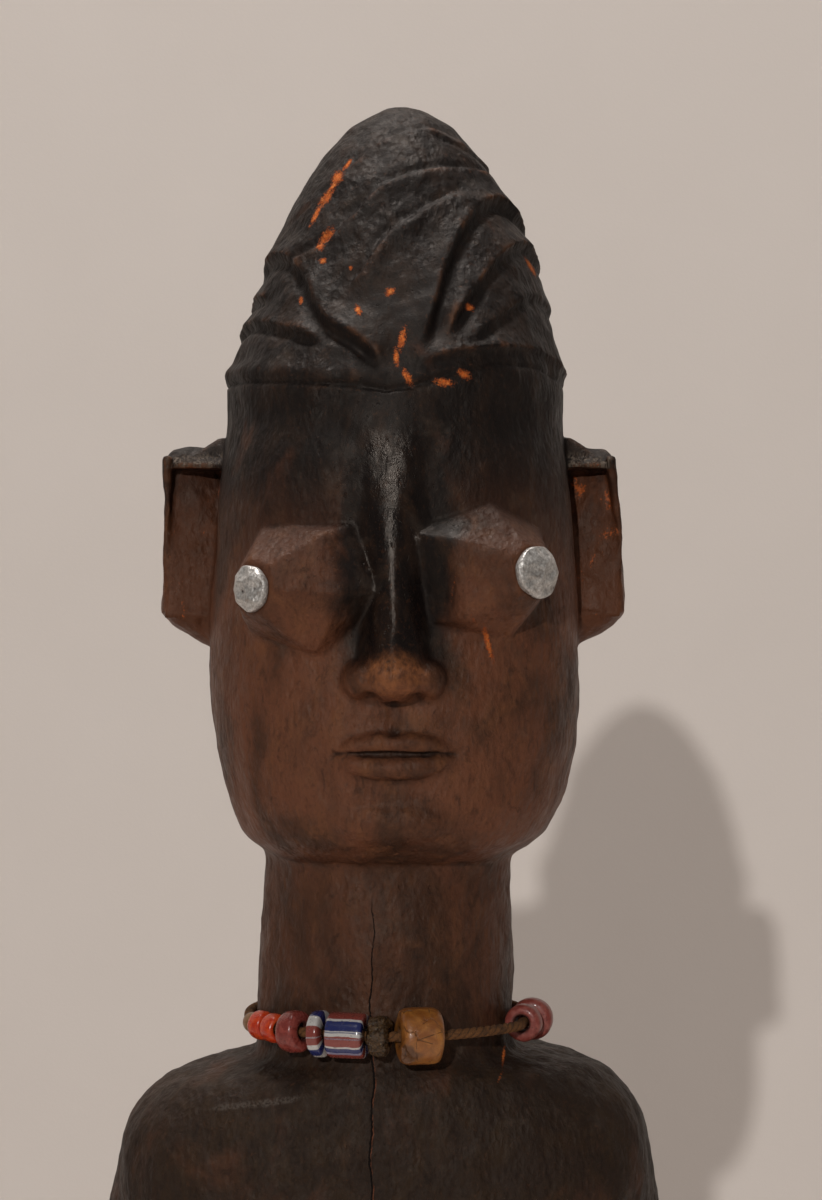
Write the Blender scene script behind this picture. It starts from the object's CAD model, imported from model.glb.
"""The looks of the carved ancestor figure: patinated wood, hammered nail eyes, trade beads on a fibre cord.

Metres, +Z up. The figure faces -Y and its neck is the vertical line through the origin. Its own left is +X.
"""

import math

import bmesh
import bpy
import numpy as np
from mathutils import Matrix, Vector


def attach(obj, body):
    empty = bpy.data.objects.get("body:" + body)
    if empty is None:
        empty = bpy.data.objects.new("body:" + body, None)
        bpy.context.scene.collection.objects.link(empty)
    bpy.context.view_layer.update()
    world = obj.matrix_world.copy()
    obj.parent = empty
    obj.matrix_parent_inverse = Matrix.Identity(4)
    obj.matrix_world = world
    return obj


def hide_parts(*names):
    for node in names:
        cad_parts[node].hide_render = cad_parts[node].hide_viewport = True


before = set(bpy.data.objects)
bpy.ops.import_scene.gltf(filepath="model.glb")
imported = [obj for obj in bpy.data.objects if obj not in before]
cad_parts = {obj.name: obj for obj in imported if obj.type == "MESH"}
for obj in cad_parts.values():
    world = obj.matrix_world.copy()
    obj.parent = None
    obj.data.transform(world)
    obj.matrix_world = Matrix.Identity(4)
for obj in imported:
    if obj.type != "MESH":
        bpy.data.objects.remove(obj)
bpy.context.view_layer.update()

# ---- The camera: level with the eyes, a little to the figure's left --------------------------------------
CAMERA_AT = (0.0056, -0.6, 0.4947)
CAMERA_LENS = 83.7

camera_data = bpy.data.cameras.new("camera")
camera_data.sensor_fit = "VERTICAL"
camera_data.sensor_height = 36.0
camera_data.lens = CAMERA_LENS
camera_data.clip_start = 0.01
camera = bpy.data.objects.new("camera", camera_data)
bpy.context.scene.collection.objects.link(camera)
camera.location = CAMERA_AT
camera.rotation_euler = (math.radians(90), 0, 0)
bpy.context.scene.camera = camera

# ---- Dimensions that the visual model shares with the solids ---------------------------------------------
BASE_RADIUS = 0.0585
BASE_HEIGHT = 0.03
NECK_RADIUS = 0.0275
NECK_TOP_RADIUS = 0.0262
SHOULDER_Z = 0.3985
JAW_Z = 0.441
CHIN_Z = 0.4425
HAIRLINE_Z = 0.5377
HEAD_X = 0.0022
FACE_HALF_WIDTH = 0.0395
EAR_SPAN = 0.0497
EAR_TOP_Z = 0.5272
EAR_FOOT_Z = 0.485
THIRD = (HAIRLINE_Z - CHIN_Z) / 3
BROW_Z = HAIRLINE_Z - THIRD
NOSE_BASE_Z = CHIN_Z + THIRD
MOUTH_Z = NOSE_BASE_Z - THIRD / 3
EYE_Z = CHIN_Z + 1.75 * THIRD
EYE_NAILS = {"left_eye_nail": (1, 0.0022, 0.0054), "right_eye_nail": (-1, -0.001, 0.0046)}
BOSS_ROOT = Vector((0.015, -0.029, 0.0))
BOSS_TURN = 44
BOSS_LENGTH = 0.0185
BOSS_ROOT_RADIUS = 0.018
CLEARANCE = 0.0003

# (height over the hairline, set-back, half width, front depth, back depth, squareness)
HEADDRESS = [
    (-0.005, 0.001, 0.0358, 0.0392, 0.0425, 2.2),
    (0.001, 0.001, 0.036, 0.0395, 0.0428, 2.2),
    (0.007, 0.0015, 0.0354, 0.0388, 0.0422, 2.1),
    (0.016, 0.002, 0.0326, 0.0355, 0.039, 2.1),
    (0.026, 0.003, 0.0299, 0.0318, 0.0355, 2.1),
    (0.036, 0.004, 0.0262, 0.0275, 0.031, 2.1),
    (0.046, 0.005, 0.0211, 0.0218, 0.0248, 2.1),
    (0.054, 0.0055, 0.0152, 0.0158, 0.0178, 2.1),
    (0.0596, 0.006, 0.0088, 0.0095, 0.0105, 2.1),
    (0.0622, 0.006, 0.0034, 0.004, 0.0046, 2.0),
]
# How far the headdress leans to the figure's left, and the height over which it comes to lean.
DOME_LEAN = 0.0014
DOME_LEAN_RISE = 0.02

# The smoothing of the fine mesh takes a little off the dome's tip, which this gives back.
DOME_STRETCH = 1.022

NECKLACE_Z = 0.4061
CORD_RADIUS = 0.00105
KNOT_HALF_ANGLE = 8.5
SLIDE_RADIUS = 0.034
CORD_ROUTE = [
    (-180, 0.0305), (-150, 0.0298), (-120, 0.0291), (-95, 0.029), (-80, 0.0293), (-71, 0.0301), (-60, 0.0313),
    (-50, 0.0314), (-40, 0.0323), (-28, 0.0327), (-16, 0.0328), (-4, 0.0333), (3, SLIDE_RADIUS),
    (12, SLIDE_RADIUS), (24, SLIDE_RADIUS), (36, SLIDE_RADIUS), (48, SLIDE_RADIUS), (55, SLIDE_RADIUS),
    (64, 0.0326), (74, 0.0326), (88, 0.031), (105, 0.0296), (130, 0.0293), (155, 0.0298), (180, 0.0305),
]
# name: (degrees round the neck, radius, length, bore radius, squareness, lean, slot)
BEADS = {
    "ivory_bead": (-61.4, 0.0022, 0.0032, 0.0014, 2.2, 0, "bead_ivory"),
    "orange_bead_rear": (-53.9, 0.0031, 0.0043, 0.0015, 2.6, 0, "bead_orange"),
    "orange_bead_front": (-45.0, 0.0031, 0.0043, 0.0015, 2.6, 0, "bead_orange"),
    "brick_bead_right": (-34.2, 0.0044, 0.005, 0.0017, 3.2, 5, "bead_brick"),
    "striped_ring_bead": (-23.3, 0.0048, 0.0028, 0.0017, 5.0, 4, "bead_striped"),
    "striped_tube_bead": (-12.7, 0.0047, 0.0078, 0.0017, 9.0, 0, "bead_striped"),
    "olive_bead": (-1.4, 0.0044, 0.0046, 0.0018, 4.0, 0, "bead_olive"),
    "amber_bead": (12.5, 0.0059, 0.0088, 0.0019, 4.5, 0, "bead_amber"),
    "brick_bead_left_front": (63.6, 0.004, 0.0042, 0.0017, 3.0, 0, "bead_brick"),
    "brick_bead_left_rear": (73.3, 0.0045, 0.0046, 0.0017, 3.0, 0, "bead_brick"),
}


# How fine the figure's mesh is, in the whole and when quick: (voxel on the details, voxel on the soft masses,
# most triangles).
WOOD_FINENESS = (0.0005, 0.001, 190000)
# How readily the mesh is thinned: a little over the neck, more on the chest, most below.
HEAD_FROM_Z, CHEST_FROM_Z = 0.43, 0.36
THINNING = {"head": 0.14, "chest": 0.45, "below": 1.0}


# ---- Mesh helpers ----------------------------------------------------------------------------------------
def linked(name, mesh):
    obj = bpy.data.objects.new(name, mesh)
    bpy.context.scene.collection.objects.link(obj)
    return obj


def object_from(bm, name):
    """An object at the origin whose mesh holds its place."""
    bmesh.ops.recalc_face_normals(bm, faces=bm.faces)
    mesh = bpy.data.meshes.new(name)
    bm.to_mesh(mesh)
    bm.free()
    mesh.shade_smooth()
    return linked(name, mesh)


def apply_modifiers(obj):
    """Bakes the object's modifiers into its mesh."""
    bpy.context.view_layer.update()
    graph = bpy.context.evaluated_depsgraph_get()
    mesh = bpy.data.meshes.new_from_object(obj.evaluated_get(graph))
    obj.modifiers.clear()
    old, obj.data = obj.data, mesh
    bpy.data.meshes.remove(old)
    mesh.name = obj.name


def remesh(obj, voxel):
    modifier = obj.modifiers.new("remesh", "REMESH")
    modifier.mode = "VOXEL"
    modifier.voxel_size = voxel
    modifier.use_smooth_shade = True


def smooth(obj, times):
    modifier = obj.modifiers.new("smooth", "SMOOTH")
    modifier.factor = 0.5
    modifier.iterations = times


def points_of(mesh):
    points = np.empty(len(mesh.vertices) * 3, np.float32)
    mesh.vertices.foreach_get("co", points)
    return points.reshape(-1, 3).astype(np.float64)


def normals_of(mesh):
    normals = np.empty(len(mesh.vertices) * 3, np.float32)
    mesh.vertex_normals.foreach_get("vector", normals)
    return normals.reshape(-1, 3).astype(np.float64)


def set_points(mesh, points):
    mesh.vertices.foreach_set("co", points.astype(np.float32).ravel())
    mesh.update()


def set_attribute(mesh, name, values):
    layer = mesh.attributes.new(name, "FLOAT", "POINT")
    layer.data.foreach_set("value", values.astype(np.float32))


def step(values, low, high):
    """Smoothstep from low to high."""
    t = np.clip((values - low) / (high - low), 0, 1)
    return t * t * (3 - 2 * t)


def bell(values, width):
    """1 at zero, fading out over about twice that width to either side."""
    return np.exp(-((values / width) ** 2))


def hashed(cells, seed):
    """A repeatable number from 0 to 1 for each integer cell."""
    x, y, z = (cells[..., i].astype(np.int64) for i in range(3))
    n = (x * 73856093) ^ (y * 19349663) ^ (z * 83492791) ^ (seed * 2654435761)
    n = (n ^ (n >> 13)) * 1274126177
    return ((n ^ (n >> 16)) & 0xFFFFFF) / 0xFFFFFF


def value_noise(points, size, seed):
    """Smooth noise from -1 to 1 with that cell size."""
    p = points / size
    cell = np.floor(p)
    t = p - cell
    t = t * t * (3 - 2 * t)
    total = 0
    for dx in (0, 1):
        for dy in (0, 1):
            for dz in (0, 1):
                weight = (
                    (t[:, 0] if dx else 1 - t[:, 0])
                    * (t[:, 1] if dy else 1 - t[:, 1])
                    * (t[:, 2] if dz else 1 - t[:, 2])
                )
                total = total + weight * hashed(cell + (dx, dy, dz), seed)
    return total * 2 - 1


def chip_marks(points, size, seed):
    """Depth of overlapping gouge cuts, 0 at a cut's middle to 1 at the ridge between cuts."""
    p = points / size
    cell = np.floor(p)
    nearest = np.full(len(p), 9.0)
    for dx in (-1, 0, 1):
        for dy in (-1, 0, 1):
            for dz in (-1, 0, 1):
                c = cell + (dx, dy, dz)
                spot = c + np.stack([hashed(c, seed + k) for k in (1, 2, 3)], axis=1)
                nearest = np.minimum(nearest, ((p - spot) ** 2).sum(axis=1))
    return np.clip(np.sqrt(nearest), 0, 1)


def add_ellipsoid(bm, centre, radii, turn=(0, 0, 0)):
    """turn is the Euler rotation in degrees."""
    x, y, z = (math.radians(a) for a in turn)
    rotation = Matrix.Rotation(z, 4, "Z") @ Matrix.Rotation(y, 4, "Y") @ Matrix.Rotation(x, 4, "X")
    place = Matrix.Translation(centre) @ rotation @ Matrix.Diagonal((*radii, 1.0))
    bmesh.ops.create_icosphere(bm, subdivisions=4, radius=1.0, matrix=place)


def add_cone(bm, start, end, start_radius, end_radius):
    along = Vector(end) - Vector(start)
    turn = along.to_track_quat("Z", "Y").to_matrix().to_4x4()
    bmesh.ops.create_cone(
        bm,
        cap_ends=True,
        segments=32,
        radius1=start_radius,
        radius2=end_radius,
        depth=along.length,
        matrix=Matrix.Translation((Vector(start) + Vector(end)) / 2) @ turn,
    )


def add_limb(bm, stations):
    """A tapering limb: balls at its stations, (point, radius), joined by frustums."""
    for point, radius in stations:
        bmesh.ops.create_icosphere(bm, subdivisions=3, radius=radius, matrix=Matrix.Translation(point))
    for (start, start_radius), (end, end_radius) in zip(stations, stations[1:]):
        add_cone(bm, start, end, start_radius, end_radius)


def eased(stations, parts=4):
    """More stations, on a smooth curve through a limb's own."""
    rows = [np.array((*point, radius)) for point, radius in stations]
    rows = [2 * rows[0] - rows[1], *rows, 2 * rows[-1] - rows[-2]]
    made = []
    for a, b, c, d in zip(rows, rows[1:], rows[2:], rows[3:]):
        for k in range(parts):
            t = k / parts
            curved = (2 * a - 5 * b + 4 * c - d) * t**2 + (3 * b - a - 3 * c + d) * t**3
            made.append(0.5 * (2 * b + (c - a) * t + curved))
    made.append(rows[-2])
    return [(Vector(row[:3]), float(row[3])) for row in made]


def hermite(first, second, slope, next_slope, span, t):
    """The smooth curve from one value to the next, t of the way along the span between them."""
    return (
        first * (2 * t**3 - 3 * t**2 + 1)
        + second * (3 * t**2 - 2 * t**3)
        + span * (slope * (t**3 - 2 * t**2 + t) + next_slope * (t**3 - t**2))
    )


def bridge(bm, rings):
    """Closes a skin over rings of vertices."""
    for low, high in zip(rings, rings[1:]):
        for i in range(len(low)):
            j = (i + 1) % len(low)
            bm.faces.new((low[i], low[j], high[j], high[i]))
    bm.faces.new(reversed(rings[0]))
    bm.faces.new(rings[-1])


def add_loft(bm, sections, sides=96):
    """A closed skin through level sections (x, y, z, half width, front depth, back depth, squareness)."""
    rings = []
    for x, y, z, width, front, back, power in sections:
        ring = []
        for i in range(sides):
            angle = math.tau * i / sides
            across, along = math.cos(angle), math.sin(angle)
            depth = back if along > 0 else front
            px = x + width * math.copysign(abs(across) ** (2 / power), across)
            py = y + depth * math.copysign(abs(along) ** (2 / power), along)
            ring.append(bm.verts.new((px, py, z)))
        rings.append(ring)
    bridge(bm, rings)


def rounded(sections, parts=5):
    """The loft's sections with smoothly curved ones in between."""
    table = np.array(sections)
    heights = table[:, 2]
    slopes = np.gradient(table, heights, axis=0)
    made = []
    for i in range(len(table) - 1):
        span = heights[i + 1] - heights[i]
        for part in range(parts):
            made.append(tuple(hermite(table[i], table[i + 1], slopes[i], slopes[i + 1], span, part / parts)))
    return made + [tuple(table[-1])]


def dome_lean(height):
    return DOME_LEAN * min(1.0, max(0.0, height / DOME_LEAN_RISE))


def mirrored(side, point):
    """A point given for the left side, on that side or on the right one."""
    return Vector((side * point[0], point[1], point[2]))


# ---- The wood: soft masses first -------------------------------------------------------------------------
# Level sections in mm: (x, y, height, half width, front depth, back depth, squareness).
TRUNK = [
    (0, 2, 190, 34, 28, 27, 2.3),
    (0, 1, 210, 32, 29, 24, 2.2),
    (0, 0, 232, 31.2, 32.5, 22.5, 2.1),
    (0, 0, 250, 31.8, 33.5, 22.5, 2.1),
    (0, 0, 275, 33.8, 30, 24.5, 2.2),
    (0, 0, 305, 37.2, 27.5, 28, 2.3),
    (0, 0, 330, 42.5, 29, 29.5, 2.4),
    (0, 0, 352, 49.8, 32, 31, 2.4),
    (0, 0, 366, 56, 32.8, 31.5, 2.6),
    (0, 0, 377, 56, 32.5, 31.2, 2.6),
    (0, 0, 385, 54.5, 31.8, 30.8, 2.5),
    (0, 0, 389, 52, 31.2, 30.4, 2.4),
    (0, 0, 392.5, 48.5, 30.5, 30, 2.3),
    (0, 0, 395.5, 43, 29.8, 29.6, 2.2),
    (0, 0, 397.5, 34.5, 29, 29, 2.1),
    (0, 0, SHOULDER_Z * 1000 + 0.3, 28.6, 28.4, 28.4, 2),
]
WRAPPER = [
    (0, 3, 128, 44, 33, 34, 2.6),
    (0, 3, 150, 44, 33.5, 38, 2.5),
    (0, 3, 175, 43, 33, 40, 2.4),
    (0, 3, 195, 39, 32, 35, 2.3),
    (0, 2, 206, 34.5, 30, 28.5, 2.2),
]
WAISTBAND = [
    (0, 2, 200, 37.5, 33.5, 31.5, 2.3),
    (0, 2, 203, 39.2, 35, 33, 2.3),
    (0, 2, 208, 38.5, 34.5, 32.2, 2.3),
    (0, 2, 211, 36.2, 32.5, 30, 2.3),
]
# Limbs of the left side in mm: (x, y, height, radius).
ARM = [
    (40.5, 0, 376, 16),
    (46.5, 1, 352, 14.5),
    (50.5, 3, 325, 13.2),
    (52.5, 4.5, 303, 12.6),
    (53.8, 6, 282, 12.2),
    (50, -13, 264, 10.8),
    (34, -29, 250, 8),
]
LEG = [
    (21.5, 2, 145, 20.5),
    (24, -7, 112, 16.8),
    (25, 6, 82, 17.8),
    (24.5, 7, 56, 13.2),
    (24.5, 6, 40, 13),
]


def metres(sections):
    """Sections given in mm, in metres. Their squareness stays."""
    return [(*(value / 1000 for value in section[:-1]), section[-1]) for section in sections]


def add_side_limb(bm, side, stations):
    rows = [(mirrored(side, [value / 1000 for value in place]), radius / 1000) for *place, radius in stations]
    add_limb(bm, eased(rows))


def add_head(bm):
    middle = HEAD_X
    face = [
        (middle * 0.6, 0.0005, JAW_Z, 0.0262, 0.03, 0.027, 2.2),
        (middle * 0.8, 0, JAW_Z + 0.003, 0.0305, 0.0355, 0.031, 2.3),
        (middle, 0, JAW_Z + 0.009, 0.0345, 0.039, 0.035, 2.3),
        (middle, 0, JAW_Z + 0.018, 0.0372, 0.0402, 0.038, 2.3),
        (middle, 0, JAW_Z + 0.03, 0.039, 0.0405, 0.04, 2.4),
        (middle, 0, JAW_Z + 0.045, FACE_HALF_WIDTH, 0.04, 0.042, 2.4),
        (middle, 0, EYE_Z + 0.004, 0.0388, 0.0385, 0.0435, 2.4),
        (middle, 0, BROW_Z + 0.01, 0.0375, 0.04, 0.044, 2.4),
        (middle, 0.0005, HAIRLINE_Z - 0.012, 0.0362, 0.0402, 0.0435, 2.3),
    ]
    dome = []
    for rise, back, *rest in HEADDRESS:
        dome.append((middle + dome_lean(rise), back, HAIRLINE_Z + rise * DOME_STRETCH, *rest))
    add_loft(bm, rounded(face + dome))


def add_trunk(bm):
    neck = [
        (0, SHOULDER_Z - 0.015, 0.026, 0.026, 0.026),
        (0, SHOULDER_Z, 0.0283, 0.0283, 0.0283),
        (0, NECKLACE_Z - 0.004, 0.0277, 0.0277, 0.0277),
        (0, NECKLACE_Z + 0.004, NECK_RADIUS, NECK_RADIUS, NECK_RADIUS),
        (0.0006, JAW_Z - 0.004, NECK_TOP_RADIUS, 0.0265, 0.0265),
        (HEAD_X * 0.6, JAW_Z + 0.01, 0.0265, 0.027, 0.0265),
    ]
    add_loft(bm, [(x, 0, z, *reach, 2) for x, z, *reach in neck])
    add_loft(bm, rounded(metres(TRUNK)))
    add_ellipsoid(bm, (0, -0.0325, 0.242), (0.0048, 0.006, 0.0048))


def add_arms(bm):
    for side in (-1, 1):
        add_side_limb(bm, side, ARM)
        hand = mirrored(side, (0.027, -0.0325, 0.2465))
        add_ellipsoid(bm, hand, (0.011, 0.0048, 0.0085), (0, side * 18, side * 25))


def add_hips_and_wrapper(bm):
    add_loft(bm, rounded(metres(WRAPPER)))


def add_legs(bm):
    foot_z = BASE_HEIGHT + 0.0045
    for side in (-1, 1):
        add_side_limb(bm, side, LEG)
        add_ellipsoid(bm, mirrored(side, (0.025, -0.013, foot_z)), (0.012, 0.029, 0.0085), (0, 0, side * 4))
        add_ellipsoid(bm, mirrored(side, (0.0245, 0.009, foot_z + 0.001)), (0.0115, 0.013, 0.01))


def add_base(bm):
    """A disc with a chamfered upper edge, which starts under the floor so that its underside ends up flat."""
    chamfer = 0.003
    edge = [(-0.001, BASE_RADIUS), (BASE_HEIGHT - 0.004, BASE_RADIUS), (BASE_HEIGHT, BASE_RADIUS - chamfer)]
    add_loft(bm, [(0, 0, z, reach, reach, reach, 2) for z, reach in edge])


# ---- The wood: crisp details on the soft masses ----------------------------------------------------------
def nail_frame(name):
    """The nail's place: its origin on the boss's flat tip, and +Z out along its shank."""
    side, rise, _ = EYE_NAILS[name]
    turn = math.radians(BOSS_TURN)
    out = Vector((side * math.sin(turn), -math.cos(turn), 0.0))
    root = Vector((HEAD_X, 0.0, EYE_Z + rise)) + mirrored(side, BOSS_ROOT)
    place = out.to_track_quat("Z", "Y").to_matrix().to_4x4()
    place.translation = root + out * BOSS_LENGTH
    return place


# Each ring of a boss's cut corners: (share of the way in from the flat tip, radius as a share of the root's).
BOSS_RINGS = [(1.0, 1.0), (0.5, 0.8), (0.0, 0.33)]


def add_eye_bosses(bm):
    """Each boss is a blunt knife-cut cone whose flat tip carries the nail's head."""
    rng = np.random.default_rng(21)
    sides = 6
    for name in EYE_NAILS:
        place = nail_frame(name)
        corners = []
        twist = rng.uniform(0, math.tau)
        for depth, width in BOSS_RINGS:
            for k in range(sides):
                angle = twist + math.tau * (k + rng.uniform(-0.16, 0.16)) / sides
                reach = BOSS_ROOT_RADIUS * width * rng.uniform(0.94, 1.06)
                inward = BOSS_LENGTH * depth * rng.uniform(0.9, 1.06)
                corner = Vector((reach * math.cos(angle), reach * math.sin(angle), -inward))
                corners.append(bm.verts.new(place @ corner))
        made = bmesh.ops.convex_hull(bm, input=corners)
        loose = [v for v in made["geom_interior"] if isinstance(v, bmesh.types.BMVert)]
        bmesh.ops.delete(bm, geom=loose, context="VERTS")


def add_nose(bm):
    """A straight ridge that widens and comes forward to a rounded tip between two wings."""
    root_y, root_depth = -0.03, 0.004
    ridge = [
        (NOSE_BASE_Z - 0.0002, 0.007, 0.014, 2),
        (NOSE_BASE_Z + 0.0014, 0.0096, 0.0178, 2),
        (NOSE_BASE_Z + 0.0045, 0.0098, 0.0202, 1.9),
        (NOSE_BASE_Z + 0.008, 0.0092, 0.0196, 1.75),
        (NOSE_BASE_Z + 0.015, 0.0092, 0.017, 1.6),
        (EYE_Z, 0.0098, 0.0146, 1.55),
        (BROW_Z, 0.012, 0.0132, 1.6),
        (BROW_Z + 0.012, 0.014, 0.0116, 1.7),
        (HAIRLINE_Z - 0.008, 0.017, 0.0103, 1.8),
        (HAIRLINE_Z + 0.002, 0.017, 0.008, 1.9),
    ]
    sections = [(HEAD_X, root_y, z, width, reach, root_depth, power) for z, width, reach, power in ridge]
    add_loft(bm, rounded(sections))
    for side in (-1, 1):
        wing = Vector((HEAD_X + side * 0.0068, -0.0405, NOSE_BASE_Z + 0.0044))
        add_ellipsoid(bm, wing, (0.0036, 0.0062, 0.004), (0, 0, side * -16))


# Half of each lip: (distance from the middle, depth, height over the mouth's line, radius).
UPPER_LIP = [
    (0.0, -0.0413, 0.0019, 0.002),
    (0.003, -0.0414, 0.0023, 0.0022),
    (0.008, -0.0402, 0.0016, 0.0018),
]
LOWER_LIP = [
    (0.0, -0.0412, -0.0027, 0.0025),
    (0.004, -0.041, -0.0026, 0.0024),
    (0.0085, -0.0398, -0.0018, 0.0018),
]
LIP_CORNER = (0.0128, -0.0376, 0.0, 0.0008)


def add_mouth(bm):
    """The swell of the jaws, two lips on it, and the chin."""
    add_ellipsoid(bm, (HEAD_X, -0.0345, MOUTH_Z), (0.0175, 0.0068, 0.0095))
    for lip in (UPPER_LIP, LOWER_LIP):
        half = lip + [LIP_CORNER]
        whole = [(-x, y, z, r) for x, y, z, r in reversed(half)] + half[1:]
        add_limb(bm, [(Vector((HEAD_X + x, y, MOUTH_Z + z)), r) for x, y, z, r in whole])
    add_ellipsoid(bm, (HEAD_X, -0.0326, CHIN_Z + 0.0078), (0.015, 0.0085, 0.0064))


def add_block(bm, low_corners, low, high_corners, high):
    """A block between two convex outlines of (x, y) corners, one at each height."""
    outlines = ((low_corners, low), (high_corners, high))
    bridge(bm, [[bm.verts.new((x, y, z)) for x, y in corners] for corners, z in outlines])


def add_ear(bm, side, trim, flare):
    """An ear scooped out from the front: deepest under its lid, and running out flat at its foot.

    trim moves its outer wall towards the figure's right, and flare is how far that wall leans in at the top.
    """
    wall = 0.0017
    lid_height = 0.004
    front_y, rear_y = -0.003, 0.0157
    deep_y, shallow_y = 0.0105, 0.003
    sill_z = EAR_FOOT_Z + 0.007
    outer = HEAD_X + side * EAR_SPAN - trim
    root = HEAD_X + side * 0.03
    middle, half = (outer + root) / 2, abs(outer - root) / 2
    centre_y, depth = (front_y + rear_y) / 2, (rear_y - front_y) / 2
    edge = outer - side * wall / 2
    half_way = (sill_z + EAR_TOP_Z) / 2
    shell = [
        (edge, centre_y + 0.0008, sill_z, wall / 2, depth - 0.0008, depth - 0.0008, 4),
        (edge - side * 0.0006, centre_y + 0.0012, half_way, wall / 2, depth - 0.0012, depth, 4),
        (edge - side * flare, centre_y, EAR_TOP_Z - 0.002, wall / 2, depth, depth, 4),
    ]
    add_loft(bm, shell, sides=32)

    lid_x, lid_half = middle - side * flare / 2, half - flare / 2
    lid = [
        (lid_x, centre_y, EAR_TOP_Z - lid_height, lid_half, depth, depth, 5),
        (lid_x, centre_y, EAR_TOP_Z - 0.001, lid_half - 0.0006, depth - 0.0034, depth, 5),
        (lid_x, centre_y, EAR_TOP_Z, lid_half - 0.0014, depth - 0.005, depth - 0.001, 5),
    ]
    add_loft(bm, lid, sides=48)

    def floor(rear_inset, front_inset, inner_y, outer_y):
        rear, front = outer - side * rear_inset, outer - side * front_inset
        return [(rear, rear_y), (root, rear_y), (root, inner_y), (front, outer_y)]

    low_floor = floor(0.0006, 0.0012, front_y + 0.0012, front_y + 0.0004)
    high_floor = floor(0.0026, 0.0034, deep_y, shallow_y)
    add_block(bm, low_floor, sill_z - 0.001, high_floor, EAR_TOP_Z - 0.001)
    toe_x, toe_y = middle - side * 0.005, centre_y + 0.0015
    foot = [
        (toe_x, toe_y, EAR_FOOT_Z, half - 0.005, depth - 0.003, depth - 0.001, 3.5),
        (middle - side * 0.0012, centre_y + 0.0006, sill_z - 0.0028, half - 0.0012, depth - 0.0008, depth, 4),
        (middle, centre_y, sill_z, half - 0.0002, depth, depth, 5),
    ]
    add_loft(bm, foot, sides=48)

    low_run, high_run = HEAD_X + side * 0.0432, HEAD_X + side * 0.0378
    low_corner = [(low_run, 0.015), (root, 0.015), (root, -0.0005), (low_run, -0.0005)]
    high_corner = [(high_run, 0.014), (root, 0.014), (root, 0.001), (high_run, 0.001)]
    add_block(bm, low_corner, EAR_TOP_Z - 0.0015, high_corner, EAR_TOP_Z + 0.0022)


def add_ears(bm):
    add_ear(bm, -1, trim=0.0008, flare=0.0008)
    add_ear(bm, 1, trim=0.0, flare=0.0026)


def add_fingers_and_toes(bm):
    for side in (-1, 1):
        for finger in range(4):
            drop = 0.0052 - 0.0036 * finger
            start = mirrored(side, (0.0235, -0.0335, 0.2455 + drop))
            end = mirrored(side, (0.0105, -0.035, 0.2415 + drop))
            add_limb(bm, [(start, 0.0021), (end, 0.0018)])
        for toe in range(5):
            place = mirrored(side, (0.0165 + 0.0043 * toe, -0.0415 + 0.0012 * toe, BASE_HEIGHT + 0.0035))
            add_ellipsoid(bm, place, (0.0023, 0.0058, 0.0036))


def add_waistband(bm):
    add_loft(bm, rounded(metres(WAISTBAND)))


def dome_point(turn, height):
    """A point on the headdress's skin: degrees from the front to the left, and height over the hairline."""
    table = np.array(HEADDRESS)
    back, width, front, rear = (np.interp(height, table[:, 0], table[:, i]) for i in (1, 2, 3, 4))
    angle = math.radians(turn)
    across, along = math.sin(angle), -math.cos(angle)
    depth = front if along < 0 else rear
    x = HEAD_X + dome_lean(height) + width * across
    return Vector((x, back + depth * along, HAIRLINE_Z + height * DOME_STRETCH))


# Each fold: its line over the dome as (degrees from the front to the left, height over the hairline in mm),
# how high its crest stands in mm, how wide it is in mm, and the side on which it drops off, +1 for the side
# to the left of its direction of travel.
FOLDS = [
    (
        [(-2, 4.6), (-13, 10), (-24, 13.2), (-31, 17.2), (-38, 22.7), (-50, 27.5), (-66, 29), (-92, 26)],
        2.2, 7, 1,
    ),
    ([(4, 4.6), (15, 6.4), (29, 7.8), (55, 8.6), (78, 6), (110, 5)], 1.7, 6, -1),
    (
        [(7, 7.1), (11, 14.5), (15, 22.5), (23, 30.7), (34, 36.6), (54, 40.5), (78, 38), (104, 33)],
        2.3, 6.5, -1,
    ),
    ([(16, 9), (20, 14.6), (30, 21.8), (46, 28.6), (66, 31.5), (90, 28.5), (118, 24)], 2.1, 6, -1),
    ([(22, 8.5), (38, 15), (60, 20.5), (84, 19), (112, 15)], 1.4, 5, -1),
    (
        [
            (-56, 24), (-44, 27), (-31, 30.5), (-24, 34.6), (-12, 40.6), (8, 44.6), (29, 46.3), (54, 46.5),
            (84, 43),
        ],
        1.25, 5, 1,
    ),
    ([(-20, 20), (-12, 26.1), (-6, 30.9), (7, 35.4), (22, 39.2), (40, 41.2)], 1, 4.5, 1),
    (
        [(-66, 34), (-50, 38), (-39, 42.4), (-27, 48), (-20, 50.6), (-8, 53.4), (20, 55.4), (60, 54)],
        0.75, 4, 1,
    ),
    ([(16, 57), (41, 53.5), (66, 51), (96, 48)], 0.7, 3.5, -1),
    ([(-24, 9.5), (-48, 13.5), (-74, 15), (-100, 11)], 1.7, 5.5, 1),
    ([(-60, 20), (-84, 20.5), (-112, 17)], 1.5, 5, 1),
    ([(176, 7), (150, 15), (128, 26), (112, 38), (96, 47)], 2, 6.5, 1),
    ([(172, 14), (150, 26), (134, 38), (124, 49)], 1.8, 6, 1),
    ([(182, 7), (208, 15), (230, 26), (248, 37), (262, 46)], 2, 6.5, -1),
    ([(186, 14), (206, 26), (222, 38), (232, 49)], 1.8, 6, -1),
    ([(182, 26), (172, 38), (160, 50)], 1.5, 5, 1),
]
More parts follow.
